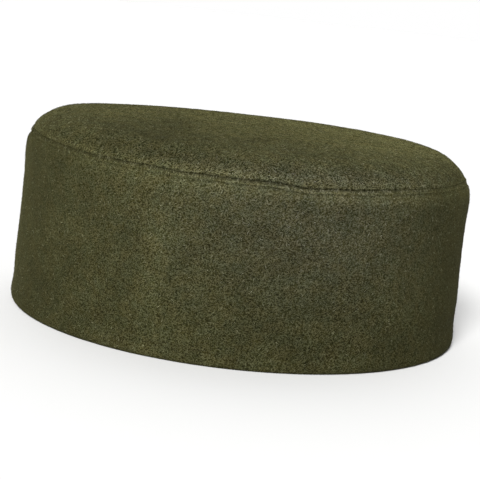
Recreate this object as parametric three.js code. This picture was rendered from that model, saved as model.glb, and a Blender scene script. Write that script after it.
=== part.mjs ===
// A kufi: a round brimless cap in thick olive wool cloth, an upright band with a low flat-topped crown sewn into it.
// Millimetres, +Z up, front towards -Y. The origin is the middle of the rim, on the surface that the cap stands on.

import * as THREE from "three";

// Sizes of the whole cap
const bandRadius = 96; // outside the band, for a head of about 58 cm
const seamHeight = 70.6; // from the rim to the seam that joins band and crown
const seamInset = 3.2; // how far that seam is drawn in from bandRadius
const crownRise = 11.6; // from the seam to the middle of the crown

// The cloth
const clothThickness = 1.5;
const foldThickness = 2 * clothThickness; // where it is turned in and pressed flat
const rimRounding = 0.8; // the edges of the fold that the cap stands on
const hemHeight = 22; // turned up inside the rim
const allowance = 9; // turned down inside the crown seam
const sewnGap = 0.3; // between band and crown, all along their seam

// Smoothness of the solids
const stepsAround = 72;
const stepsPerCurve = 2;

// The outside of the band from the rim up: how far it stands in from bandRadius at each height
const bandWall = [
  { height: 3, inset: -0.4 },
  { height: 8, inset: 0.2 },
  { height: 18, inset: 0 },
  { height: 35, inset: 0.9 },
  { height: 52, inset: 1.5 },
  { height: 61, inset: 1.2 },
  { height: 66, inset: 1.5 },
];

// The outside of the crown from the seam in: share of the seam's radius, and share of the crown's rise
const crownWall = [
  { reach: 0.997, rise: 0.06 },
  { reach: 0.98, rise: 0.2 },
  { reach: 0.95, rise: 0.41 },
  { reach: 0.905, rise: 0.66 },
  { reach: 0.85, rise: 0.8 },
  { reach: 0.78, rise: 0.89 },
  { reach: 0.68, rise: 0.95 },
  { reach: 0.45, rise: 0.99 },
];

// How the seam strays from level: a height, added as a cosine that turns so many times round the cap from +X
const seamSway = [
  { turns: 1, height: -0.6 },
  { turns: 2, height: 0.8 },
];

// The crown's shoulder puffs up by this much at -X, and is as much lower at +X
const crownPuff = 0.7;

// Soft upright waves in the band: degrees from the front towards +X, half width in degrees, and how far out they stand
const bandWaves = [
  { around: -38, halfWidth: 8, out: -0.4 },
  { around: -16, halfWidth: 9, out: 0.7 },
  { around: 6, halfWidth: 10, out: -0.3 },
];

// Hollows in the top of the crown. heading is the way a hollow runs, in degrees from +X towards +Y. Its two flanks
// fall away from that line over widths of their own.
const crownHollows = [
  { x: -29, y: -49, heading: 77, halfLength: 26, leftWidth: 13, rightWidth: 6, depth: 1.7 },
  { x: -19, y: -83, heading: 12, halfLength: 15, leftWidth: 5, rightWidth: 5, depth: 0.8 },
];

const seamRadius = bandRadius - seamInset;
const lipRadius = seamRadius - clothThickness / 3; // where the band's cloth rolls over into the seam
const turnInRadius = bandRadius - bandWall.at(-1).inset - foldThickness; // inside the band's cloth turned down there

// A ring or disc: a path of (radius, height) turned once round the vertical axis.
function turned(path) {
  const geometry = new THREE.LatheGeometry(path.getPoints(stepsPerCurve), stepsAround);
  return geometry.rotateX(Math.PI / 2);
}

// A bump of height 1 that fades to nothing over about twice the half width.
function bump(distance, halfWidth) {
  return Math.exp(-((distance / halfWidth) ** 2));
}

// How far the band's cloth stands out at an angle round the cap, half-way up.
function waveOut(around) {
  const fromFront = THREE.MathUtils.radToDeg(around) + 90;
  return bandWaves.reduce((sum, wave) => sum + wave.out * bump(fromFront - wave.around, wave.halfWidth), 0);
}

// How far the crown has sunk at a point of its top.
function hollowDepth(x, y) {
  return crownHollows.reduce((sum, hollow) => {
    const turn = THREE.MathUtils.degToRad(hollow.heading);
    const dx = x - hollow.x;
    const dy = y - hollow.y;
    const along = dx * Math.cos(turn) + dy * Math.sin(turn);
    const across = dy * Math.cos(turn) - dx * Math.sin(turn);
    const width = across > 0 ? hollow.leftWidth : hollow.rightWidth;
    return sum + hollow.depth * bump(along, hollow.halfLength) * bump(across, width);
  }, 0);
}

// Hand-sewn cloth is never quite true: the seam strays from level, the band waves a little, one shoulder of the crown
// puffs up, and its top has hollows. Band and crown move by the same rule, so they keep their gap.
function settleCloth(geometry) {
  const position = geometry.getAttribute("position");
  for (let i = 0; i < position.count; i += 1) {
    const x = position.getX(i);
    const y = position.getY(i);
    const z = position.getZ(i);
    const radius = Math.hypot(x, y);
    const around = Math.atan2(y, x);
    const upBand = Math.min(1, z / seamHeight);
    const onCrown = THREE.MathUtils.smoothstep(z, seamHeight, seamHeight + crownRise / 2);
    const sway = seamSway.reduce((sum, wave) => sum + wave.height * Math.cos(wave.turns * around), 0);
    const puff = -crownPuff * Math.cos(around) * (radius / seamRadius) ** 6;
    const stretch = radius > 0 ? 1 + (waveOut(around) * Math.sin(Math.PI * upBand)) / radius : 1;
    const lift = (sway * upBand * radius) / seamRadius + onCrown * (puff - hollowDepth(x, y));
    position.setXYZ(i, x * stretch, y * stretch, z + lift);
  }
  geometry.computeVertexNormals();
  return geometry;
}

// The upright band: a strip of cloth folded up inside the rim and turned down inside the seam.
function band() {
  const outside = bandWall.map(({ height, inset }) => new THREE.Vector2(bandRadius - inset, height));
  const singleLayer = outside.filter(({ y }) => y > hemHeight && y < seamHeight - allowance).reverse();
  const wallTop = outside.at(-1);
  const rimOutside = outside[0].x;
  const rimInside = rimOutside - foldThickness;
  const path = new THREE.Path();
  path.moveTo(rimInside + rimRounding, 0);
  path.lineTo(rimOutside - rimRounding, 0);
  path.absarc(rimOutside - rimRounding, rimRounding, rimRounding, -Math.PI / 2, 0);
  path.splineThru(outside);
  path.quadraticCurveTo(wallTop.x, seamHeight - clothThickness / 2, lipRadius, seamHeight - sewnGap);
  path.lineTo(turnInRadius, seamHeight - clothThickness);
  path.lineTo(turnInRadius, seamHeight - allowance);
  for (const knot of singleLayer) path.lineTo(knot.x - clothThickness, knot.y);
  path.lineTo(rimOutside - clothThickness, hemHeight + clothThickness);
  path.lineTo(rimInside, hemHeight);
  path.lineTo(rimInside, rimRounding);
  path.absarc(rimInside + rimRounding, rimRounding, rimRounding, Math.PI, Math.PI * 1.5);
  return settleCloth(turned(path));
}

// The crown: a disc of cloth, shaped over its shoulder and turned down inside the band.
function crown() {
  const outside = crownWall.map(
    ({ reach, rise }) => new THREE.Vector2(seamRadius * reach, seamHeight + crownRise * rise),
  );
  const top = new THREE.Vector2(0, seamHeight + crownRise);
  const shoulder = outside.filter(({ y }) => y > seamHeight + clothThickness).reverse();
  const skirtOutside = turnInRadius - sewnGap;
  const skirtInside = skirtOutside - clothThickness;
  const skirtEnd = seamHeight - allowance;
  const path = new THREE.Path();
  path.moveTo(0, top.y - clothThickness);
  for (const knot of shoulder) path.lineTo(knot.x - clothThickness / 2, knot.y - clothThickness);
  path.lineTo(skirtInside, seamHeight);
  path.lineTo(skirtInside, skirtEnd);
  path.lineTo(skirtOutside, skirtEnd);
  path.lineTo(skirtOutside, seamHeight - clothThickness);
  path.lineTo(lipRadius, seamHeight);
  path.splineThru([...outside, top]);
  return settleCloth(turned(path));
}

// A piece of the cap in its wool cloth.
function piece(name, geometry, color) {
  const material = new THREE.MeshStandardMaterial({ color, roughness: 0.95, metalness: 0 });
  const mesh = new THREE.Mesh(geometry, material);
  mesh.name = name;
  return mesh;
}

const kufi = new THREE.Group();
kufi.add(piece("band", band(), 0x48472d));
kufi.add(piece("crown", crown(), 0x4c4b30));

export default kufi;
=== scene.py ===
import math

import bpy
import numpy as np
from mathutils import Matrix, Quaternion, Vector


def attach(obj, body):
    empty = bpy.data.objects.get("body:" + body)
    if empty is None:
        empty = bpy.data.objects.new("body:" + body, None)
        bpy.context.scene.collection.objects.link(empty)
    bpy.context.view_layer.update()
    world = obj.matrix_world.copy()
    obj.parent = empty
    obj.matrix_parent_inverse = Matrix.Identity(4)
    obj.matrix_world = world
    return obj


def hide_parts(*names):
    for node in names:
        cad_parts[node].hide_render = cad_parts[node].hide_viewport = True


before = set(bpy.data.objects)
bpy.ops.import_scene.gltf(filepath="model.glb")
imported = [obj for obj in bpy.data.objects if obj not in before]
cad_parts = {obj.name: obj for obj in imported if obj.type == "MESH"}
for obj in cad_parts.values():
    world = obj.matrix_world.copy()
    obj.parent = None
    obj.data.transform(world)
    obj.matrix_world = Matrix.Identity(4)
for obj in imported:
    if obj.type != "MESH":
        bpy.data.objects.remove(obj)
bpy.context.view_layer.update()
print("frame loaded")


# The cap in metres: +Z up, front towards -Y, the middle of the rim at the origin

cap = {
    "radius": 0.0960,  # outside the band
    "seamHeight": 0.0706,  # from the rim to the seam between band and crown
    "seamRadius": 0.0928,
    "crownRise": 0.0116,  # from that seam to the middle of the crown
    "segments": 100,  # round the cap, before smoothing
    "smoothing": 2,
    "cloth": 0.0014,  # thickness of the wool
    "sharpAngle": 50,  # in degrees; an edge that turns by more than this stays sharp
}

# How the sewn cloth has settled. around is in degrees from the front towards +X
settling = {
    "sway": [{"turns": 1, "height": -0.0006}, {"turns": 2, "height": 0.0008}],
    "crownPuff": 0.0007,  # the shoulder stands this much higher at -X, and as much lower at +X
    "puffPower": 6,  # how closely that keeps to the shoulder
    "bandWaves": [
        {"around": -38, "halfWidth": 8, "out": -0.0004},
        {"around": -16, "halfWidth": 9, "out": 0.0007},
        {"around": 6, "halfWidth": 10, "out": -0.0003},
    ],
    # the first draws the shoulder in. The others nearly close the groove of the seam or of the stitching
    # below it, press it deeper, or lift a ridge beside it
    "seamWaves": [
        {"around": 92, "halfWidth": 30, "height": 0.0720, "reach": 0.0050, "out": -0.0011},
        {"around": -50, "halfWidth": 22, "height": 0.0705, "reach": 0.0005, "out": 0.00016},
        {"around": 74, "halfWidth": 26, "height": 0.0706, "reach": 0.0005, "out": 0.00055},
        {"around": 94, "halfWidth": 20, "height": 0.0706, "reach": 0.0006, "out": 0.00040},
        {"around": -46, "halfWidth": 28, "height": 0.0687, "reach": 0.0008, "out": 0.00042},
        {"around": 74, "halfWidth": 26, "height": 0.0687, "reach": 0.0008, "out": 0.00045},
        {"around": 2, "halfWidth": 16, "height": 0.0694, "reach": 0.0005, "out": 0.00024},
        {"around": 8, "halfWidth": 24, "height": 0.0706, "reach": 0.0004, "out": -0.00018},
        {"around": 14, "halfWidth": 42, "height": 0.0716, "reach": 0.0006, "out": 0.00022},
    ],
    "crownHollows": [
        {"x": -0.029, "y": -0.049, "heading": 77, "halfLength": 0.026,
         "leftWidth": 0.013, "rightWidth": 0.006, "depth": 0.0017},
        {"x": -0.019, "y": -0.083, "heading": 12, "halfLength": 0.015,
         "leftWidth": 0.005, "rightWidth": 0.005, "depth": 0.0008},
        {"x": -0.062, "y": 0.048, "heading": 52, "halfLength": 0.030,
         "leftWidth": 0.018, "rightWidth": 0.018, "depth": 0.0005},
        {"x": 0.030, "y": 0.070, "heading": 150, "halfLength": 0.040,
         "leftWidth": 0.018, "rightWidth": 0.018, "depth": -0.0004},
    ],
    "seamRipples": [
        {"around": -42, "halfWidth": 14, "height": -0.0006},
        {"around": -15, "halfWidth": 4, "height": -0.0004},
        {"around": 5, "halfWidth": 4, "height": 0.0003},
        {"around": 15, "halfWidth": 5, "height": -0.0009},
        {"around": 26, "halfWidth": 7, "height": -0.0006},
        {"around": 131, "halfWidth": 5, "height": 0.0004},
        {"around": -152, "halfWidth": 6, "height": -0.0004},
        {"around": -104, "halfWidth": 5, "height": 0.0003},
    ],
    "rippleReach": 0.007,  # how far above and below the seam a ripple is felt
    "rippleFrom": 0.8,  # and from which share of the seam's radius outwards
    # the upright join that closes the band's strip: a pressed groove between two low ridges
    "backJoin": {
        "around": 180, "halfWidth": 0.9, "depth": 0.0006,
        "ridgeAway": 2.4, "ridgeHalfWidth": 1.2, "ridgeShare": 0.3,
    },
}


def bump(distance, halfWidth):
    return math.exp(-((distance / halfWidth) ** 2))


def turnFrom(around, place):
    # degrees between two directions round the cap
    return (around - place + 180) % 360 - 180


def felt(wave, around):
    # how much of a wave is felt in a direction round the cap
    return bump(turnFrom(around, wave["around"]), wave["halfWidth"])


def hollowDepth(x, y):
    depth = 0
    for hollow in settling["crownHollows"]:
        turn = math.radians(hollow["heading"])
        dx = x - hollow["x"]
        dy = y - hollow["y"]
        along = dx * math.cos(turn) + dy * math.sin(turn)
        across = dy * math.cos(turn) - dx * math.sin(turn)
        width = hollow["leftWidth"] if across > 0 else hollow["rightWidth"]
        depth += hollow["depth"] * bump(along, hollow["halfLength"]) * bump(across, width)
    return depth


def smoothRise(value, low, high):
    share = min(1, max(0, (value - low) / (high - low)))
    return share * share * (3 - 2 * share)


def settled(point):
    # where a point of the neatly turned shape comes to lie in the real, soft one
    radius = math.hypot(point.x, point.y)
    angle = math.atan2(point.y, point.x)
    around = math.degrees(angle) + 90
    upBand = min(1, point.z / cap["seamHeight"])
    onCrown = smoothRise(point.z, cap["seamHeight"], cap["seamHeight"] + cap["crownRise"] / 2)
    sway = sum(wave["height"] * math.cos(wave["turns"] * angle) for wave in settling["sway"])
    puff = -settling["crownPuff"] * math.cos(angle) * (radius / cap["seamRadius"]) ** settling["puffPower"]
    ripple = sum(wave["height"] * felt(wave, around) for wave in settling["seamRipples"])
    ripple *= bump(point.z - cap["seamHeight"], settling["rippleReach"])
    ripple *= smoothRise(radius, cap["seamRadius"] * settling["rippleFrom"], cap["seamRadius"])
    out = sum(wave["out"] * felt(wave, around) for wave in settling["bandWaves"])
    out *= math.sin(math.pi * upBand)
    out += sum(
        wave["out"] * felt(wave, around) * bump(point.z - wave["height"], wave["reach"])
        for wave in settling["seamWaves"]
    )
    stretch = 1 + out / radius if radius > 0 else 1
    lift = sway * upBand * radius / cap["seamRadius"] + ripple
    lift += onCrown * (puff - hollowDepth(point.x, point.y))
    return Vector((point.x * stretch, point.y * stretch, point.z + lift))


def seamHeightAt(around):
    # how high the settled seam lies in each direction of an array
    angle = np.radians(around - 90)
    lift = sum(wave["height"] * np.cos(wave["turns"] * angle) for wave in settling["sway"])
    for wave in settling["seamRipples"]:
        lift += wave["height"] * np.exp(-(turnFrom(around, wave["around"]) / wave["halfWidth"]) ** 2)
    return cap["seamHeight"] + lift


def settle(piece):
    for vertex in piece.data.vertices:
        vertex.co = settled(vertex.co)
    piece.data.update()


# Modelling helpers


def finishWith(piece, kind, **settings):
    modifier = piece.modifiers.new(kind.lower(), kind)
    for name, value in settings.items():
        setattr(modifier, name, value)
    bpy.context.view_layer.objects.active = piece
    bpy.ops.object.modifier_apply(modifier=modifier.name)


def inOrder(mesh, key):
    # Extruding numbers corners and faces anew in each run. Here corners are sorted by key and faces by their
    # corners, each from its first corner on, so that the fibres laid on them lie the same every time
    corners = [vertex.co[:] for vertex in mesh.vertices]
    order = sorted(range(len(corners)), key=lambda i: key(i, corners[i]))
    rank = {corner: place for place, corner in enumerate(order)}
    faces = []
    for face in mesh.polygons:
        ranks = [rank[corner] for corner in face.vertices]
        first = ranks.index(min(ranks))
        faces.append(ranks[first:] + ranks[:first])
    return [corners[i] for i in order], sorted(faces)


def byRing(i, corner):
    # its ring, then its step round that ring
    turn = math.atan2(corner[1], corner[0]) / math.tau
    return i // cap["segments"], round(turn * cap["segments"]) % cap["segments"]


def byHeight(_, corner, decimals=6):
    return tuple(round(value, decimals) for value in reversed(corner))


def leadRings(rings, rounds=6):
    # control rings that stand out a little, so that the smoothed cloth passes through the rings asked for.
    # Smoothing puts each ring at one part of the ring before, four of its own and one of the ring after
    lead = [list(ring) for ring in rings]
    for _ in range(rounds):
        smooth = [
            [(before[i] + 4 * here[i] + after[i]) / 6 for i in (0, 1)]
            for before, here, after in zip(lead, lead[1:], lead[2:])
        ]
        for here, wanted, got in zip(lead[1:-1], rings[1:-1], smooth):
            for i in (0, 1):
                here[i] += wanted[i] - got[i]
    return lead


def turnCloth(name, rings, closed):
    # a circle for the first ring, then an extrude and a resize for each ring that follows
    lead = leadRings(rings)
    bpy.ops.object.select_all(action="DESELECT")
    bpy.ops.mesh.primitive_circle_add(
        vertices=cap["segments"], radius=lead[0][0], location=(0, 0, lead[0][1])
    )
    piece = bpy.context.object
    piece.name = name
    bpy.ops.object.transform_apply(location=True, rotation=True, scale=True)
    bpy.ops.object.mode_set(mode="EDIT")
    bpy.ops.mesh.select_all(action="SELECT")
    for (radius, height, *_), (nextRadius, nextHeight, *_) in zip(lead, lead[1:]):
        bpy.ops.mesh.extrude_region_move(TRANSFORM_OT_translate={"value": (0, 0, nextHeight - height)})
        share = nextRadius / radius
        bpy.ops.transform.resize(value=(share, share, 1), center_override=(0, 0, 0))
    if closed:
        bpy.ops.mesh.extrude_region_move(TRANSFORM_OT_translate={"value": (0, 0, 0)})
        bpy.ops.mesh.merge(type="CENTER")
    bpy.ops.mesh.select_all(action="SELECT")
    bpy.ops.mesh.normals_make_consistent(inside=False)
    bpy.ops.object.mode_set(mode="OBJECT")
    corners, faces = inOrder(piece.data, byRing)
    piece.data = bpy.data.meshes.new(name)
    piece.data.from_pydata(corners, [], faces)
    group = piece.vertex_groups.new(name="clothDepth")
    group.add(list(range(len(piece.data.vertices))), 1, "REPLACE")
    for i, ring in enumerate(rings):
        first = i * cap["segments"]
        group.add(list(range(first, first + cap["segments"])), ring[2], "REPLACE")
    finishWith(piece, "SUBSURF", levels=cap["smoothing"], render_levels=cap["smoothing"])
    return piece


def thicken(piece):
    finishWith(
        piece, "SOLIDIFY", thickness=cap["cloth"], offset=-1, use_even_offset=False,
        vertex_group="clothDepth", use_rim=True,
    )
    piece.vertex_groups.clear()
    bpy.ops.object.select_all(action="DESELECT")
    piece.select_set(True)
    bpy.context.view_layer.objects.active = piece
    bpy.ops.object.shade_smooth_by_angle(angle=math.radians(cap["sharpAngle"]))


def napRelief(piece, relief):
    # the milled surface isn't flat: soft lumps, each size from a texture of its own
    for size, strength in relief:
        texture = bpy.data.textures.new("lumps", type="CLOUDS")
        texture.noise_scale = size
        finishWith(
            piece, "DISPLACE", texture=texture, texture_coords="LOCAL", direction="NORMAL",
            strength=strength, mid_level=0.5,
        )


# Painted light and wear: patches of painted highlight and painted shade, with some paler brushed or darker
# flattened nap, as a share of the wool's own colour.
# fromSeam is a height that is measured from the settled seam

paintedLightAndWearPatches = {
    # band: painted highlights along the seam's lip, over the lit front, down the left edge and along the
    # front of the foot; painted shade in the seam's groove, on the right side and low all round
    "band": [
        {"around": 16, "height": 0.0675, "halfAround": 42, "halfHeight": 0.0030, "share": 0.62},
        {"around": -19, "height": 0.0625, "halfAround": 10, "halfHeight": 0.0075, "share": 0.26},
        {"around": 22, "height": 0.0560, "halfAround": 30, "halfHeight": 0.0090, "share": 0.12},
        {"around": 8, "fromSeam": -0.0011, "halfAround": 66, "halfHeight": 0.0004, "share": 0.62},
        {"around": 66, "fromSeam": -0.0020, "halfAround": 14, "halfHeight": 0.0006, "share": 0.20},
        {"around": 8, "fromSeam": -0.0002, "halfAround": 26, "halfHeight": 0.0003, "share": -0.16},
        {"around": -42, "fromSeam": -0.0024, "halfAround": 18, "halfHeight": 0.0018, "share": 0.12},
        {"around": -2, "height": 0.0615, "halfAround": 11, "halfHeight": 0.0060, "share": 0.12},
        {"around": -18, "height": 0.0260, "halfAround": 7, "halfHeight": 0.0330, "share": 0.17},
        {"around": -44, "height": 0.0460, "halfAround": 13, "halfHeight": 0.0130, "share": 0.14},
        {"around": 41, "height": 0.0340, "halfAround": 9, "halfHeight": 0.0260, "share": 0.15},
        {"around": -19, "height": 0.0440, "halfAround": 4, "halfHeight": 0.0090, "share": 0.12},
        {"around": 27, "height": 0.0530, "halfAround": 14, "halfHeight": 0.0080, "share": 0.10},
        {"around": -8, "height": 0.0010, "halfAround": 30, "halfHeight": 0.0032, "share": 0.24},
        {"around": 84, "height": 0.0200, "halfAround": 21, "halfHeight": 0.0450, "share": -0.46},
        {"around": 80, "height": 0.0060, "halfAround": 18, "halfHeight": 0.0200, "share": -0.12},
        {"around": -80, "height": 0.0400, "halfAround": 13, "halfHeight": 0.0600, "share": 0.12},
        {"around": 22, "height": 0.0120, "halfAround": 36, "halfHeight": 0.0200, "share": -0.07},
        {"around": 0, "height": 0, "halfAround": 400, "halfHeight": 0.0180, "share": -0.07},
    ],
    # crown: painted shade in its hollows, in the seam's groove and at its right end; painted highlights along
    # its edge above the seam and over the far side
    "crown": [
        {"x": -0.030, "y": -0.045, "halfX": 0.012, "halfY": 0.034, "share": -0.20},
        {"x": -0.054, "y": -0.054, "halfX": 0.014, "halfY": 0.014, "share": -0.14},
        {"x": -0.018, "y": -0.082, "halfX": 0.014, "halfY": 0.006, "share": -0.06},
        {"x": -0.034, "y": -0.066, "halfX": 0.009, "halfY": 0.012, "share": -0.20},
        {"x": -0.050, "y": -0.068, "halfX": 0.009, "halfY": 0.009, "share": -0.18},
        {"around": 12, "height": 0.0722, "halfAround": 34, "halfHeight": 0.0011, "share": 0.24},
        {"around": 12, "fromSeam": 0.0014, "halfAround": 45, "halfHeight": 0.0007, "share": 0.24},
        {"around": -48, "fromSeam": 0.0016, "halfAround": 22, "halfHeight": 0.0014, "share": 0.12},
        {"around": 19, "fromSeam": 0.0024, "halfAround": 7, "halfHeight": 0.0020, "share": -0.16},
        {"around": 8, "fromSeam": 0.0002, "halfAround": 26, "halfHeight": 0.0003, "share": -0.16},
        {"around": 5, "height": 0.0757, "halfAround": 55, "halfHeight": 0.0028, "share": -0.10},
        {"around": 52, "height": 0.0740, "halfAround": 9, "halfHeight": 0.0026, "share": -0.10},
        {"around": 69, "height": 0.0720, "halfAround": 11, "halfHeight": 0.0028, "share": -0.40},
        {"around": -22, "height": 0.0748, "halfAround": 26, "halfHeight": 0.0022, "share": -0.14},
        {"x": 0.008, "y": -0.053, "halfX": 0.020, "halfY": 0.012, "share": -0.10},
        {"x": 0.052, "y": -0.044, "halfX": 0.022, "halfY": 0.022, "share": 0.15},
        {"x": -0.010, "y": 0.050, "halfX": 0.090, "halfY": 0.045, "share": 0.15},
        {"x": 0.045, "y": 0.055, "halfX": 0.050, "halfY": 0.045, "share": 0.20},
        {"x": 0.062, "y": 0.000, "halfX": 0.034, "halfY": 0.045, "share": 0.28},
    ],
}

# Greyness: less yellow over the front of the band and along the front of the crown's edge
greying = {
    "band": [{"around": 17, "height": 0.0550, "halfAround": 32, "halfHeight": 0.0320, "share": 1}],
    "crown": [{"around": 18, "height": 0.0725, "halfAround": 36, "halfHeight": 0.0045, "share": 1}],
}


def patchiness(points, patches, start):
    x, y, z = points.T
    around = np.degrees(np.arctan2(y, x)) + 90
    seam = seamHeightAt(around)
    value = np.full(len(points), float(start))
    for patch in patches:
        if "around" in patch:
            off = turnFrom(around, patch["around"])
            height = patch["height"] if "height" in patch else seam + patch["fromSeam"]
            across = (off / patch["halfAround"]) ** 2 + ((z - height) / patch["halfHeight"]) ** 2
        else:
            across = ((x - patch["x"]) / patch["halfX"]) ** 2 + ((y - patch["y"]) / patch["halfY"]) ** 2
        value += patch["share"] * np.exp(-across)
    return value


def keepValues(mesh, name, values):
    mesh.attributes.new(name, "FLOAT", "POINT").data.foreach_set("value", values)


def paintLightAndWear(mesh, places, part):
    # one share per point for the painted highlights, painted shade and wear, and one for the greyness
    keepValues(mesh, "paintedLightAndWearShare", patchiness(places, paintedLightAndWearPatches[part], 1))
    keepValues(mesh, "greying", patchiness(places, greying[part], 0))


def pointsOf(mesh):
    places = np.empty(len(mesh.vertices) * 3)
    mesh.vertices.foreach_get("co", places)
    return places.reshape(-1, 3)


# Nap: short loose fibres, each a bent sliver that lies on the cloth and stands a little off it

nap = {
    # perArea is how many lie on a square metre
    "band": {"perArea": 0.55e6, "width": (0.00009, 0.00014), "seed": 4},
    "crown": {"perArea": 0.95e6, "width": (0.00012, 0.00019), "seed": 9},
    "length": (0.0008, 0.0021),
    "lift": (0.00002, 0.00032),  # how far the free end stands off the cloth
    "arch": (0.00004, 0.00020),  # and the middle
    "curl": 0.28,  # how far the middle strays sideways, as a share of the length
    "tilt": 0.5,  # how far the corners of its waist stand off the cloth, as a share of the width
    "leastArea": 1e-15,  # taken for the area of an empty triangle
    # fibres felted across the groove of the seam, from the band's lip (low) up to the crown's edge (high),
    # both given as radius and height. feet are the shares of that way between which they lie. span leaves
    # out the stretch where the groove is closed, in degrees from the front
    "bridges": {
        "count": 2300, "low": (0.0935, 0.0695), "high": (0.0926, 0.0711), "feet": (0.2, 0.8),
        "span": (130, 408), "lean": 0.75, "seed": 12,
    },
}


def makeFibre():
    # one unit long: a three-sided cone, its open foot drawn out to a second point, so that it has two
    # slender ends and a waist of three corners
    half = 0.5
    bpy.ops.object.select_all(action="DESELECT")
    bpy.ops.mesh.primitive_cone_add(
        vertices=3, radius1=half, radius2=0, depth=half, end_fill_type="NOTHING"
    )
    fibre = bpy.context.object
    fibre.location = (0, 0, half / 2)
    bpy.ops.object.transform_apply(location=True, rotation=True, scale=True)
    bpy.ops.object.mode_set(mode="EDIT")
    bpy.ops.mesh.select_mode(type="EDGE")
    bpy.ops.mesh.select_all(action="DESELECT")
    bpy.ops.mesh.select_non_manifold()
    bpy.ops.mesh.extrude_region_move(TRANSFORM_OT_translate={"value": (0, 0, -half)})
    bpy.ops.mesh.merge(type="CENTER")
    bpy.ops.mesh.select_all(action="SELECT")
    bpy.ops.mesh.quads_convert_to_tris()
    bpy.ops.mesh.normals_make_consistent(inside=False)
    bpy.ops.object.mode_set(mode="OBJECT")
    corners, faces = inOrder(fibre.data, byHeight)
    bpy.data.objects.remove(fibre)
    return np.array(corners), np.array(faces)


def bridgeSeam():
    # places, normals and directions of the fibres that lie across the seam
    bridges = nap["bridges"]
    chance = np.random.default_rng(bridges["seed"])
    low, high = np.array(bridges["low"]), np.array(bridges["high"])
    climb = (high - low) / np.linalg.norm(high - low)
    angle = np.radians(chance.uniform(*bridges["span"], bridges["count"]) - 90)
    radius, height = (low + (high - low) * chance.uniform(*bridges["feet"], (bridges["count"], 1))).T
    outward = np.stack([np.cos(angle), np.sin(angle), np.zeros_like(angle)], axis=1)
    sideways = np.stack([-np.sin(angle), np.cos(angle), np.zeros_like(angle)], axis=1)
    upright = np.array([0, 0, 1])
    foot = outward * radius[:, None] + upright * height[:, None]
    foot = np.array([settled(Vector(place))[:] for place in foot])
    along = outward * climb[0] + upright * climb[1]
    up = outward * climb[1] - upright * climb[0]
    lean = chance.normal(0, bridges["lean"], (bridges["count"], 1))
    return foot, up, along + sideways * lean


def layNap(part, cloth, covers):
    # lays fibres at random on the triangles of the cloth whose middle and normal pass covers
    name = part + "Nap"
    own = nap[part]
    mesh = cloth.data
    mesh.calc_loop_triangles()
    triangles = np.empty(len(mesh.loop_triangles) * 3, dtype=np.int32)
    mesh.loop_triangles.foreach_get("vertices", triangles)
    corners = pointsOf(mesh)[triangles.reshape(-1, 3)]
    across = np.cross(corners[:, 1] - corners[:, 0], corners[:, 2] - corners[:, 0])
    area = np.linalg.norm(across, axis=1) / 2
    normal = across / np.maximum(area[:, None] * 2, nap["leastArea"])
    area = np.where(covers(corners.mean(axis=1), normal), area, 0)
    count = int(area.sum() * own["perArea"])

    chance = np.random.default_rng(own["seed"])
    chosen = chance.choice(len(area), size=count, p=area / area.sum())
    share = chance.dirichlet((1, 1, 1), size=count)
    foot = (corners[chosen] * share[:, :, None]).sum(axis=1)
    up = normal[chosen]
    along = np.cross(up, chance.normal(size=(count, 3)))
    if part == "band":
        foot, up, along = (np.vstack(pair) for pair in zip((foot, up, along), bridgeSeam()))
        count = len(foot)
    along /= np.linalg.norm(along, axis=1)[:, None]
    side = np.cross(up, along)
    length = chance.uniform(*nap["length"], count)
    width = chance.uniform(*own["width"], count)
    lift = chance.uniform(*nap["lift"], count)
    arch = chance.uniform(*nap["arch"], count)
    curl = chance.uniform(-nap["curl"], nap["curl"], count) * length

    shape, faces = makeFibre()
    x, y, z = shape.T
    waist = 1 - 2 * np.abs(z)  # 1 at the waist, 0 at both ends
    goes = length[:, None] * z + width[:, None] * x
    strays = width[:, None] * y + curl[:, None] * waist
    rises = arch[:, None] * waist + lift[:, None] * np.maximum(0, 2 * z) + width[:, None] * x * nap["tilt"]
    points = foot[:, None] + along[:, None] * goes[..., None] + side[:, None] * strays[..., None]
    points += up[:, None] * rises[..., None]
    allFaces = faces[None] + (np.arange(count) * len(shape))[:, None, None]

    pile = bpy.data.meshes.new(name)
    pile.from_pydata(points.reshape(-1, 3).tolist(), [], allFaces.reshape(-1, 3).tolist())
    keepValues(pile, "shade", np.repeat(chance.uniform(0, 1, count), len(shape)))
    paintLightAndWear(pile, np.repeat(foot, len(shape), axis=0), part)
    piece = bpy.data.objects.new(name, pile)
    bpy.context.scene.collection.objects.link(piece)
    print(name, count, "fibres")
    return piece


def finishCloth(piece, part, covers):
    # settles the single layer, lays its nap, then gives it its thickness, its painted light and shade and its
    # wear
    settle(piece)
    fibres = layNap(part, piece, covers)
    thicken(piece)
    paintLightAndWear(piece.data, pointsOf(piece.data), part)
    print(part, len(piece.data.polygons), "faces")
    return piece, fibres


# Band: one strip of wool, turned in at the crown seam and turned up inside the rim

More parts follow.
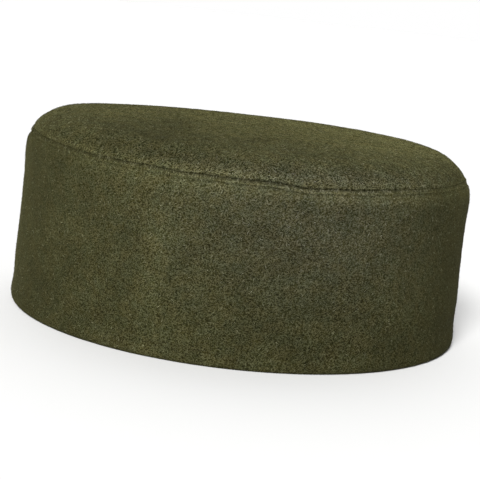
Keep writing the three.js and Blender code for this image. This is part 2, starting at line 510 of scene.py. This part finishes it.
band = {
    # rings of the cloth's outside: how far each stands in from the cap's radius, its height, and its share
    # of the cloth's thickness
    "turnIn": [  # inside the crown seam, from the raw edge up
        {"inset": 0.00450, "height": 0.06160, "depth": 1},
        {"inset": 0.00450, "height": 0.06510, "depth": 1},
        {"inset": 0.00450, "height": 0.06780, "depth": 0.80},
        {"inset": 0.00445, "height": 0.06940, "depth": 0.50},
        {"inset": 0.00410, "height": 0.07010, "depth": 0.50},
    ],
    "wall": [  # from the seam's lip down to the rim
        {"inset": 0.00400, "height": 0.07060, "depth": 0.50},
        {"inset": 0.00325, "height": 0.07035, "depth": 0.50},
        {"inset": 0.00262, "height": 0.06955, "depth": 0.50},
        {"inset": 0.00284, "height": 0.06870, "depth": 0.50},
        {"inset": 0.00210, "height": 0.06790, "depth": 0.65},
        {"inset": 0.00150, "height": 0.06700, "depth": 0.85},
        {"inset": 0.00112, "height": 0.06550, "depth": 1},
        {"inset": 0.00085, "height": 0.06200, "depth": 1},
        {"inset": 0.00095, "height": 0.05700, "depth": 1},
        {"inset": 0.00108, "height": 0.05100, "depth": 1},
        {"inset": 0.00102, "height": 0.04300, "depth": 1},
        {"inset": 0.00080, "height": 0.03500, "depth": 1},
        {"inset": 0.00045, "height": 0.02600, "depth": 1},
        {"inset": 0.00015, "height": 0.01800, "depth": 1},
        {"inset": 0.00020, "height": 0.01000, "depth": 1},
        {"inset": -0.00025, "height": 0.00480, "depth": 1},
        {"inset": -0.00040, "height": 0.00240, "depth": 1},
    ],
    "rimFold": [  # the fold that the cap stands on
        {"inset": -0.00015, "height": 0.00085, "depth": 0.97},
        {"inset": 0.00055, "height": 0.00025, "depth": 0.97},
        {"inset": 0.00165, "height": 0.00025, "depth": 0.97},
        {"inset": 0.00235, "height": 0.00085, "depth": 0.97},
    ],
    "hemHeights": [0.0024, 0.0060, 0.0110, 0.0170, 0.0220],
    "hemGap": 0.0030,  # from the wall's outside to the hem's inside
    "relief": [(0.024, 0.00012), (0.0045, 0.0002)],  # size and strength of the lumps
    # where the nap lies: on cloth that faces out by this share, this near to the cap's radius and above
    # this height
    "nap": {"facing": 0.3, "reach": 0.0042, "above": 0.0012},
    "flat": (0.104, 0.600),
}


def wallInset(height):
    # how far in the wall stands at a height, between the rows of the wall's table
    rows = sorted(band["wall"], key=lambda row: row["height"])
    return np.interp(height, [row["height"] for row in rows], [row["inset"] for row in rows])


def bandRings():
    rings = []
    for row in band["turnIn"] + band["wall"] + band["rimFold"]:
        rings.append((cap["radius"] - row["inset"], row["height"], row["depth"]))
    for height in band["hemHeights"]:
        rings.append((cap["radius"] - wallInset(height) - band["hemGap"], height, 1))
    return rings


def pressJoin(piece):
    # the strip's two ends meet at the back in a plain pressed join
    join = settling["backJoin"]
    for vertex in piece.data.vertices:
        around = math.degrees(math.atan2(vertex.co.y, vertex.co.x)) + 90
        off = turnFrom(around, join["around"])
        groove = bump(off, join["halfWidth"])
        ridges = join["ridgeShare"] * bump(abs(off) - join["ridgeAway"], join["ridgeHalfWidth"])
        share = 1 - join["depth"] * (groove - ridges) / cap["radius"]
        vertex.co.x *= share
        vertex.co.y *= share
    piece.data.update()


def onBand(middle, normal):
    where = band["nap"]
    radius = np.hypot(middle[:, 0], middle[:, 1])
    outward = (middle[:, :2] * normal[:, :2]).sum(axis=1) / radius
    outside = (outward > where["facing"]) & (radius > cap["radius"] - where["reach"])
    return outside & (middle[:, 2] > where["above"])


def makeBand():
    piece = turnCloth("bandCloth", bandRings(), closed=False)
    napRelief(piece, band["relief"])
    pressJoin(piece)
    return finishCloth(piece, "band", onBand)


# Crown: a disc of wool over a soft shoulder, turned down inside the band

crown = {
    "rings": [  # outside of the cloth, from the raw edge inside the band over the shoulder to the middle
        {"radius": 0.09120, "height": 0.0616},
        {"radius": 0.09120, "height": 0.0650},
        {"radius": 0.09120, "height": 0.0683},
        {"radius": 0.09140, "height": 0.0697},
        {"radius": 0.09195, "height": 0.0704},
        {"radius": 0.09240, "height": 0.0709},
        {"radius": 0.09235, "height": 0.0716},
        {"radius": 0.09180, "height": 0.0726},
        {"radius": 0.09055, "height": 0.0740},
        {"radius": 0.08816, "height": 0.0758},
        {"radius": 0.08418, "height": 0.0782},
        {"radius": 0.07888, "height": 0.0799},
        {"radius": 0.07238, "height": 0.0808},
        {"radius": 0.06310, "height": 0.0815},
        {"radius": 0.05250, "height": 0.0820},
        {"radius": 0.04176, "height": 0.0821},
        {"radius": 0.03100, "height": 0.08218},
        {"radius": 0.02050, "height": 0.0822},
        {"radius": 0.01000, "height": 0.0822},
        {"radius": 0.00300, "height": 0.0822},
    ],
    "relief": [(0.024, 0.00025), (0.0045, 0.0002)],
    "napFromSeam": 0.0007,  # how far above the settled seam its nap begins
    "flatAcross": 0.213,
}


def onCrown(middle, _):
    around = np.degrees(np.arctan2(middle[:, 1], middle[:, 0])) + 90
    return middle[:, 2] > seamHeightAt(around) + crown["napFromSeam"]


def makeCrown():
    rings = [(row["radius"], row["height"], 1) for row in crown["rings"]]
    piece = turnCloth("crownCloth", rings, closed=True)
    napRelief(piece, crown["relief"])
    return finishCloth(piece, "crown", onCrown)


# Edge stitching: a row of short stitches sunk in the wool just below the seam

edgeStitching = {
    "count": 240,
    "height": 0.06858,
    "radius": 0.09322,
    "thread": 0.00019,  # half its thickness
    "length": 0.0019,
    "dip": 0.00035,  # how far the ends go into the cloth
    "narrowing": 0.45,  # how much thinner they are than the middle
    "sides": 6,
    "cuts": (-0.3, 0, 0.3),  # shares of its length, from the middle, at which it can bend
}


def makeStitching():
    bpy.ops.object.select_all(action="DESELECT")
    bpy.ops.mesh.primitive_cylinder_add(
        vertices=edgeStitching["sides"], radius=edgeStitching["thread"],
        depth=edgeStitching["length"], end_fill_type="TRIFAN", rotation=(0, math.pi / 2, 0),
    )
    stitch = bpy.context.object
    bpy.ops.object.transform_apply(location=True, rotation=True, scale=True)
    bpy.ops.object.mode_set(mode="EDIT")
    for cut in edgeStitching["cuts"]:
        bpy.ops.mesh.select_all(action="SELECT")
        bpy.ops.mesh.bisect(plane_co=(cut * edgeStitching["length"], 0, 0), plane_no=(1, 0, 0))
    bpy.ops.object.mode_set(mode="OBJECT")
    half = edgeStitching["length"] / 2
    for vertex in stitch.data.vertices:
        off = abs(vertex.co.x) / half
        narrow = 1 - edgeStitching["narrowing"] * off ** 3
        vertex.co.y = vertex.co.y * narrow + edgeStitching["dip"] * off ** 2
        vertex.co.z *= narrow
    copies = []
    for i in range(edgeStitching["count"]):
        angle = 2 * math.pi * i / edgeStitching["count"]
        copy = bpy.data.objects.new("stitch", stitch.data.copy())
        bpy.context.scene.collection.objects.link(copy)
        copy.rotation_euler = (0, 0, angle)
        copy.location = (
            edgeStitching["radius"] * math.sin(angle),
            -edgeStitching["radius"] * math.cos(angle),
            edgeStitching["height"],
        )
        copies.append(copy)
    bpy.data.objects.remove(stitch)
    bpy.ops.object.select_all(action="DESELECT")
    for copy in copies:
        copy.select_set(True)
    bpy.context.view_layer.objects.active = copies[0]
    bpy.ops.object.join()
    piece = bpy.context.object
    piece.name = "edgeStitches"
    bpy.ops.object.transform_apply(location=True, rotation=True, scale=True)
    settle(piece)
    bpy.ops.object.shade_smooth()
    paintLightAndWear(piece.data, pointsOf(piece.data), "band")
    print("stitches", len(piece.data.polygons), "faces")
    return piece


# Materials


def addNode(tree, kind, inputs=None, **settings):
    node = tree.nodes.new(kind)
    for name, value in settings.items():
        setattr(node, name, value)
    for name, value in (inputs or {}).items():
        if isinstance(value, bpy.types.NodeSocket):
            tree.links.new(value, node.inputs[name])
        else:
            node.inputs[name].default_value = value
    return node


def blendColours(tree, share, first, second, way="MIX"):
    inputs = {0: share, 6: first, 7: second}
    return addNode(tree, "ShaderNodeMix", inputs, data_type="RGBA", blend_type=way).outputs[2]


def rise(tree, value, low, high, toLow=0, toHigh=1):
    inputs = {"Value": value, "From Min": low, "From Max": high, "To Min": toLow, "To Max": toHigh}
    return addNode(tree, "ShaderNodeMapRange", inputs, interpolation_type="SMOOTHSTEP").outputs["Result"]


def combine(tree, way, first, second):
    return addNode(tree, "ShaderNodeMath", {0: first, 1: second}, operation=way).outputs[0]


def vectorMath(tree, way, inputs):
    return addNode(tree, "ShaderNodeVectorMath", inputs, operation=way).outputs[0]


def noise(tree, place, row):
    inputs = {"Vector": place}
    for socket in ("Scale", "Detail", "Roughness"):
        inputs[socket] = row[socket.lower()]
    return addNode(tree, "ShaderNodeTexNoise", inputs).outputs


def noiseRise(tree, place, row, toLow=0, toHigh=1):
    return rise(tree, noise(tree, place, row)["Fac"], row["low"], row["high"], toLow, toHigh)


# Each row but the last is a noise. low and high are the levels between which it goes from 0 to 1
woolGrain = {
    "curl": {"scale": 260, "detail": 1, "roughness": 0.5, "middle": 0.5, "reach": 0.0014},
    "pits": {"scale": 1500, "detail": 2, "roughness": 0.6, "low": 0.36, "high": 0.62},
    "strands": {
        "scale": 2500,
        "detail": 0.5,
        "roughness": 0.5,
        "stretch": 0.45,  # a strand's width, as a share of its length
        "low": 0.58,
        "high": 0.72,
        "share": 0.85,  # how fully they cover what is below
        "turns": [(0, 0.9, 0.3), (0.5, -0.7, 0), (1.5, 0.3, 0.8), (1.2, -0.4, 2.2), (0.2, 1.6, 1.1)],
    },
    "mottle": {
        "scale": 75, "detail": 3, "roughness": 0.5, "low": 0.3, "high": 0.7, "deep": 0.86, "light": 1.12,
    },
    "tint": {"scale": 200, "detail": 2, "roughness": 0.5, "low": 0.32, "high": 0.68},
    "relief": {"body": 0.6, "strands": 0.6},  # how much each adds to the height
}


def makeWoolGroup():
    tree = bpy.data.node_groups.new("milledWool", "ShaderNodeTree")
    face = tree.interface
    face.new_socket("Vector", in_out="INPUT", socket_type="NodeSocketVector")
    for name in ("Pit", "Body", "Fibre", "Cool", "Warm"):
        face.new_socket(name, in_out="INPUT", socket_type="NodeSocketColor")
    face.new_socket("Color", in_out="OUTPUT", socket_type="NodeSocketColor")
    face.new_socket("Height", in_out="OUTPUT", socket_type="NodeSocketFloat")
    given = tree.nodes.new("NodeGroupInput").outputs
    place = given["Vector"]

    # fibres curl, so the pattern is read from places pushed about a little
    curl = woolGrain["curl"]
    push = vectorMath(tree, "SUBTRACT", {0: noise(tree, place, curl)["Color"], 1: (curl["middle"],) * 3})
    curled = vectorMath(tree, "MULTIPLY_ADD", {0: push, 1: (curl["reach"],) * 3, 2: place})

    # dark pits between the fibres
    filled = noiseRise(tree, curled, woolGrain["pits"])

    # light strands lying every way
    strands = woolGrain["strands"]
    onTop = None
    for turn in strands["turns"]:
        inputs = {"Vector": curled, "Rotation": turn, "Scale": (1, 1, 1 / strands["stretch"])}
        laid = addNode(tree, "ShaderNodeMapping", inputs, vector_type="TEXTURE").outputs[0]
        mask = noiseRise(tree, laid, strands)
        onTop = mask if onTop is None else combine(tree, "MAXIMUM", onTop, mask)

    colour = blendColours(tree, filled, given["Pit"], given["Body"])
    colour = blendColours(tree, combine(tree, "MULTIPLY", onTop, strands["share"]), colour, given["Fibre"])

    # uneven milling: lighter and darker patches, some of them warmer
    mottle = woolGrain["mottle"]
    shade = noiseRise(tree, place, mottle, mottle["deep"], mottle["light"])
    hue = blendColours(tree, noiseRise(tree, place, woolGrain["tint"]), given["Cool"], given["Warm"])
    colour = blendColours(tree, 1, colour, hue, "MULTIPLY")
    shaded = vectorMath(tree, "SCALE", {0: colour, 3: shade})

    relief = woolGrain["relief"]
    bodyHeight = combine(tree, "MULTIPLY", filled, relief["body"])
    strandHeight = combine(tree, "MULTIPLY", onTop, relief["strands"])
    height = combine(tree, "ADD", bodyHeight, strandHeight)
    result = tree.nodes.new("NodeGroupOutput").inputs
    tree.links.new(shaded, result["Color"])
    tree.links.new(height, result["Height"])
    return tree


# The wool's colours: pit is between its fibres, body is the felted cloth, fibre lies on top, and side is what
# it closes to where it is seen side on. cool, warm, edge (a painted highlight) and greyed multiply them
wool = {
    "band": {
        "pit": (0.0097, 0.0094, 0.0028), "body": (0.0240, 0.0231, 0.0064), "fibre": (0.072, 0.0703, 0.033),
        "side": (0.0318, 0.0309, 0.0112), "sideShare": 0.30, "edge": (1.0, 1.0, 1.0),
    },
    "crown": {
        "pit": (0.0064, 0.0062, 0.0017), "body": (0.0236, 0.0228, 0.0058), "fibre": (0.106, 0.1037, 0.0468),
        "side": (0.0405, 0.0390, 0.0142), "sideShare": 0.1, "edge": (1.44, 1.41, 1.28),
    },
    "cool": (0.950, 1.0, 1.03, 1),
    "warm": (1.038, 1.0, 0.95, 1),
    "roughness": 0.92,
    "specular": 0.03,
    "sheen": 0.03,
    "sheenRoughness": 0.35,
    "sheenTint": (0.92, 0.84, 0.26, 1),
    "napShades": [
        {"at": 0.0, "colour": (0.008, 0.0077, 0.0024)},
        {"at": 0.3, "colour": (0.019, 0.0183, 0.0058)},
        {"at": 0.6, "colour": (0.056, 0.053, 0.0190)},
        {"at": 0.85, "colour": (0.116, 0.112, 0.0520)},
        {"at": 1.0, "colour": (0.240, 0.236, 0.1400)},
    ],
    "bump": {"strength": 0.25, "distance": 0.00035},
    "greyed": (1.0, 1.0, 1.34, 1),  # where it is greyer, with less yellow
    "sideRange": (0.08, 0.75),  # seen side on, the nap closes over the pits between its fibres
    "edgeRange": (0.79, 0.95),  # and along the far edge a painted highlight brightens it
    "sideBlend": 0.5,  # of the Layer Weight node that says how far a place is turned side on
}


def withPaintedLightAndWear(tree, colour):
    # scales the colour by the painted light and shade and the wear kept on each point, and greys it where
    # asked
    pale = addNode(tree, "ShaderNodeAttribute", attribute_name="paintedLightAndWearShare").outputs["Fac"]
    grey = addNode(tree, "ShaderNodeAttribute", attribute_name="greying").outputs["Fac"]
    greyed = blendColours(tree, grey, colour, blendColours(tree, 1, colour, wool["greyed"], "MULTIPLY"))
    return vectorMath(tree, "SCALE", {0: greyed, 3: pale})


def newMaterial(name):
    material = bpy.data.materials.new(name)
    material.use_nodes = True
    material.node_tree.nodes.clear()
    return material


def makeSurface(tree, inputs):
    inputs = {"Roughness": wool["roughness"], "Specular IOR Level": wool["specular"], **inputs}
    shader = addNode(tree, "ShaderNodeBsdfPrincipled", inputs)
    surface = tree.nodes.new("ShaderNodeOutputMaterial")
    tree.links.new(shader.outputs[0], surface.inputs["Surface"])


def woolMaterial(name, colours, group):
    material = newMaterial(name)
    tree = material.node_tree
    place = addNode(tree, "ShaderNodeTexCoord").outputs["Object"]
    cloth = tree.nodes.new("ShaderNodeGroup")
    cloth.node_tree = group
    tree.links.new(place, cloth.inputs["Vector"])
    for socket in ("Pit", "Body", "Fibre"):
        cloth.inputs[socket].default_value = (*colours[socket.lower()], 1)
    for socket in ("Cool", "Warm"):
        cloth.inputs[socket].default_value = wool[socket.lower()]
    relief = addNode(tree, "ShaderNodeBump", {
        "Height": cloth.outputs["Height"],
        "Strength": wool["bump"]["strength"],
        "Distance": wool["bump"]["distance"],
    })
    sideOn = addNode(tree, "ShaderNodeLayerWeight", {"Blend": wool["sideBlend"]}).outputs["Facing"]
    closed = rise(tree, sideOn, *wool["sideRange"], 0, colours["sideShare"])
    colour = withPaintedLightAndWear(tree, blendColours(tree, closed, cloth.outputs["Color"], (*colours["side"], 1)))
    # painted highlight: the colour made brighter along the far edge, where the place is turned side on
    paintedEdgeHighlight = vectorMath(tree, "MULTIPLY", {0: colour, 1: colours["edge"]})
    makeSurface(tree, {
        "Base Color": blendColours(tree, rise(tree, sideOn, *wool["edgeRange"]), colour, paintedEdgeHighlight),
        "Normal": relief.outputs["Normal"],
        "Sheen Weight": wool["sheen"],
        "Sheen Roughness": wool["sheenRoughness"],
        "Sheen Tint": wool["sheenTint"],
    })
    return material


def napMaterial():
    material = newMaterial("napWool")
    tree = material.node_tree
    shade = addNode(tree, "ShaderNodeAttribute", attribute_name="shade").outputs["Fac"]
    ramp = addNode(tree, "ShaderNodeValToRGB", {"Fac": shade})
    steps = ramp.color_ramp.elements
    for row in wool["napShades"][1:-1]:
        steps.new(row["at"])
    for step, row in zip(steps, wool["napShades"]):
        step.position = row["at"]
        step.color = (*row["colour"], 1)
    makeSurface(tree, {"Base Color": withPaintedLightAndWear(tree, ramp.outputs["Color"])})
    return material


def dress(piece, material, nodeName=None):
    piece.data.materials.clear()
    piece.data.materials.append(material)
    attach(piece, "root")
    if nodeName:
        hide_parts(nodeName)


# Studio: a pale floor, soft light from the front left and some from behind, and the camera

# A light's around is in degrees from the front towards +X, above in degrees over the floor, and softness is
# how wide it looks, in degrees
studio = {
    "floorSize": 60,
    "floorColour": (0.70, 0.70, 0.695, 1),
    "floorRoughness": 0.8,
    "floorSpecular": 0.1,
    "backdrop": {"Color": (1, 1, 1, 1), "Strength": 1},  # seen by the camera alone
    "ambient": {"Color": (1, 1, 1, 1), "Strength": 0.20},  # what lights the cap from all round
    "key": {"around": -14, "above": 40, "strength": 4.9, "softness": 20},
    "back": {"around": 178, "above": 55, "strength": 1.1, "softness": 60},
}

view = {
    "place": (0, -0.55345, 0.1302),
    "lookAt": (-0.0001, -0.0006, 0.0318),
    "roll": 6.51,  # the picture's content is turned this far clockwise
    "lens": 96.7,
    "clip": (0.01, 100),
}


def makeFloor():
    bpy.ops.object.select_all(action="DESELECT")
    bpy.ops.mesh.primitive_plane_add(size=studio["floorSize"])
    floor = bpy.context.object
    floor.name = "floor"
    material = bpy.data.materials.new("paleFloor")
    material.use_nodes = True
    shader = material.node_tree.nodes["Principled BSDF"]
    shader.inputs["Base Color"].default_value = studio["floorColour"]
    shader.inputs["Roughness"].default_value = studio["floorRoughness"]
    shader.inputs["Specular IOR Level"].default_value = studio["floorSpecular"]
    floor.data.materials.append(material)


def addSun(name, light):
    lamp = bpy.data.lights.new(name, "SUN")
    lamp.energy = light["strength"]
    lamp.angle = math.radians(light["softness"])
    holder = bpy.data.objects.new(name, lamp)
    around = math.radians(light["around"])
    above = math.radians(light["above"])
    level = math.cos(above)
    towards = Vector((math.sin(around) * level, -math.cos(around) * level, math.sin(above)))
    holder.rotation_mode = "QUATERNION"
    holder.rotation_quaternion = towards.to_track_quat("Z", "Y")
    bpy.context.scene.collection.objects.link(holder)


def lightStudio():
    addSun("keyLight", studio["key"])
    addSun("backLight", studio["back"])
    world = bpy.data.worlds.new("studio")
    bpy.context.scene.world = world
    world.use_nodes = True
    tree = world.node_tree
    tree.nodes.clear()
    seen = addNode(tree, "ShaderNodeLightPath").outputs["Is Camera Ray"]
    lit = addNode(tree, "ShaderNodeBackground", studio["ambient"])
    backdrop = addNode(tree, "ShaderNodeBackground", studio["backdrop"])
    mix = addNode(tree, "ShaderNodeMixShader", {0: seen, 1: lit.outputs[0], 2: backdrop.outputs[0]})
    result = tree.nodes.new("ShaderNodeOutputWorld")
    tree.links.new(mix.outputs[0], result.inputs["Surface"])


def placeCamera():
    data = bpy.data.cameras.new("camera")
    data.lens = view["lens"]
    data.clip_start, data.clip_end = view["clip"]
    holder = bpy.data.objects.new("camera", data)
    bpy.context.scene.collection.objects.link(holder)
    holder.location = view["place"]
    back = Vector(view["place"]) - Vector(view["lookAt"])
    holder.rotation_mode = "QUATERNION"
    roll = Quaternion((0, 0, 1), math.radians(view["roll"]))
    holder.rotation_quaternion = back.to_track_quat("Z", "Y") @ roll
    bpy.context.scene.camera = holder


# The whole cap

group = makeWoolGroup()
bandPiece, bandNap = makeBand()
crownPiece, crownNap = makeCrown()
stitches = makeStitching()
dress(bandPiece, woolMaterial("bandWool", wool["band"], group), "band")
dress(crownPiece, woolMaterial("crownWool", wool["crown"], group), "crown")
dress(stitches, woolMaterial("threadWool", wool["band"], group))
fibreWool = napMaterial()
dress(bandNap, fibreWool)
dress(crownNap, fibreWool)

makeFloor()
lightStudio()
placeCamera()
bpy.context.scene.view_settings.view_transform = "Standard"
print("studio ready")
